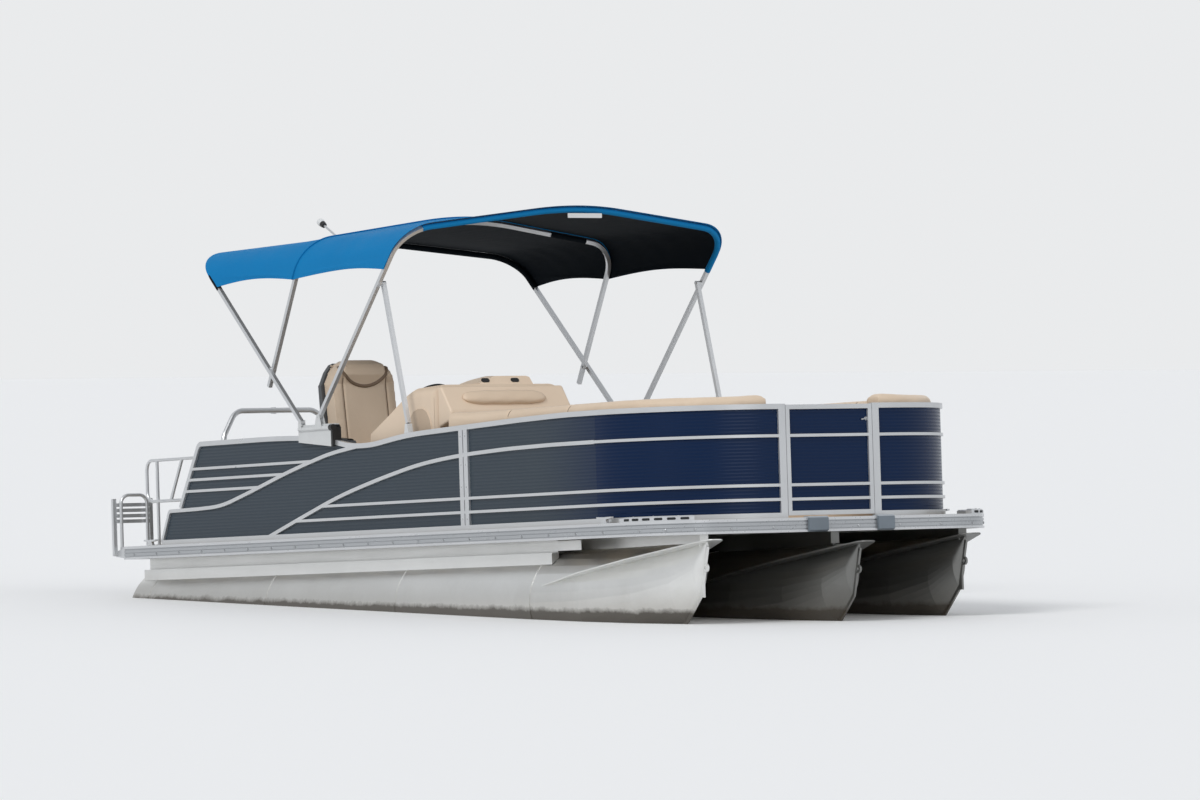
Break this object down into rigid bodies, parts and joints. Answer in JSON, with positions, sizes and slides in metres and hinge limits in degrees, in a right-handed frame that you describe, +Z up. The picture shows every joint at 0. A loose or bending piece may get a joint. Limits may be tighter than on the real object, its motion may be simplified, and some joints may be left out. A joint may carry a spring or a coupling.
{
  "type": "pontoon boat",
  "caption": "Pontoon boat with three aluminium tubes, blue fence panels, folding blue canopy, tan lounges, helm and outboard motor.",
  "frame": {"origin": "on the waterline, amidships, under the middle of the deck", "axes": "+X to the bow, +Y to port, +Z up; the deck is level"},
  "size_m": [7.7418, 2.5955, 3.4109],
  "materials": {
    "aluminium": "satin mill finish",
    "canvas": "bright blue woven canopy cloth",
    "fence_blue": "gloss slate blue sheet",
    "fence_navy": "gloss navy sheet",
    "floor": "beige marine carpet",
    "motor_black": "gloss black",
    "plastic_black": "black moulded plastic",
    "plastic_grey": "grey moulded plastic",
    "plastic_tan": "tan moulded shell",
    "plastic_white": "white moulded plastic",
    "rail_aluminium": "anodised",
    "upholstery": "tan marine vinyl"
  },
  "bodies": {
    "hull": {"deck_floor": "floor", "deck_rail": "rail_aluminium", "cross_members": "aluminium", "tube_starboard": "aluminium", "tube_center": "aluminium", "tube_port": "aluminium", "tube_risers": "aluminium", "fence_frame_starboard": "rail_aluminium", "fence_frame_port": "rail_aluminium", "fence_skins": "fence_blue", "bow_skins": "fence_navy", "stern_fence_frame": "rail_aluminium", "stern_fence_skin": "fence_blue", "console": "plastic_tan", "console_hood": "plastic_grey", "steering_column": "rail_aluminium", "chair_pedestal": "rail_aluminium", "lounge_bases": "plastic_tan", "lounge_seat_bow_starboard": "upholstery", "lounge_back_bow_starboard": "upholstery", "lounge_seat_bow_port": "upholstery", "lounge_back_bow_port": "upholstery", "lounge_seat_aft_port": "upholstery", "lounge_back_aft_port": "upholstery", "chaise_backs": "upholstery", "bimini_rear_arch": "rail_aluminium", "bimini_mounts": "plastic_white", "canvas_aft": "canvas", "light_pole": "plastic_black", "cleats": "rail_aluminium", "bow_castings": "plastic_grey", "rail_clamps": "plastic_grey", "tow_bar": "aluminium", "stern_handrail": "aluminium", "ladder_hoop": "aluminium", "transom_pod": "aluminium", "motor_bracket": "motor_black"},
    "bow_gate": {"bow_gate": "rail_aluminium", "bow_gate_skin": "fence_navy"},
    "stern_gate": {"stern_gate": "rail_aluminium", "stern_gate_skin": "fence_blue"},
    "helm_chair": {"helm_chair": "upholstery", "chair_frame": "plastic_grey"},
    "steering_wheel": {"steering_wheel": "plastic_black"},
    "bimini_front": {"bimini_front_arch": "rail_aluminium", "canvas_fore": "canvas"},
    "bimini_mid": {"bimini_mid_arch": "rail_aluminium"},
    "bimini_struts": {"bimini_struts": "rail_aluminium"},
    "ladder": {"ladder": "aluminium"},
    "motor_swivel": {"motor_swivel": "motor_black"},
    "motor": {"motor": "motor_black", "motor_cowl": "motor_black"},
    "propeller": {"propeller": "motor_black"}
  },
  "joints": [
    {"name": "bow_gate_swing", "type": "hinge", "parent": "hull", "child": "bow_gate", "pos_m": [3.2065, -0.3215, 0.825], "axis": [0, 0, 1], "range_deg": [0, 95]},
    {"name": "stern_gate_swing", "type": "hinge", "parent": "hull", "child": "stern_gate", "pos_m": [-2.3225, -1.1315, 0.82], "axis": [0, 0, -1], "range_deg": [0, 95]},
    {"name": "chair_swivel", "type": "hinge", "parent": "hull", "child": "helm_chair", "pos_m": [-1.08, -0.61, 0.88], "axis": [0, 0, 1], "range_deg": [-180, 180]},
    {"name": "wheel_turn", "type": "hinge", "parent": "hull", "child": "steering_wheel", "pos_m": [-0.33, -0.64, 1.3], "axis": [-0.788, 0, 0.6157], "range_deg": [-540, 540]},
    {"name": "bimini_fold", "type": "hinge", "parent": "hull", "child": "bimini_front", "pos_m": [-0.715, 0, 1.27], "axis": [0, -1, 0], "range_deg": [0, 84], "deforming": ["canvas_fore"]},
    {"name": "mid_fold", "type": "hinge", "parent": "hull", "child": "bimini_mid", "pos_m": [-1.343, 0, 1.603], "axis": [0, -1, 0], "range_deg": [0, 64], "deforming": ["canvas_aft"]},
    {"name": "strut_fold", "type": "hinge", "parent": "bimini_front", "child": "bimini_struts", "pos_m": [0.065, 0, 2.092], "axis": [0, 1, 0], "range_deg": [0, 60]},
    {"name": "ladder_fold", "type": "hinge", "parent": "hull", "child": "ladder", "pos_m": [-3.405, -1.144, 0.44], "axis": [0, -1, 0], "range_deg": [0, 160]},
    {"name": "motor_tilt", "type": "hinge", "parent": "hull", "child": "motor_swivel", "pos_m": [-3.59, 0, 0.4], "axis": [0, 1, 0], "range_deg": [0, 55]},
    {"name": "motor_steer", "type": "hinge", "parent": "motor_swivel", "child": "motor", "pos_m": [-3.69, 0, 0.25], "axis": [0, 0, 1], "range_deg": [-30, 30]},
    {"name": "propeller_spin", "type": "hinge", "parent": "motor", "child": "propeller", "pos_m": [-4.075, 0, -0.48], "axis": [1, 0, 0], "continuous": true}
  ],
  "couplings": [
    {"joint": "mid_fold", "follows": "bimini_fold", "ratio": 0.7619},
    {"joint": "strut_fold", "follows": "bimini_fold", "ratio": 0.7143}
  ]
}
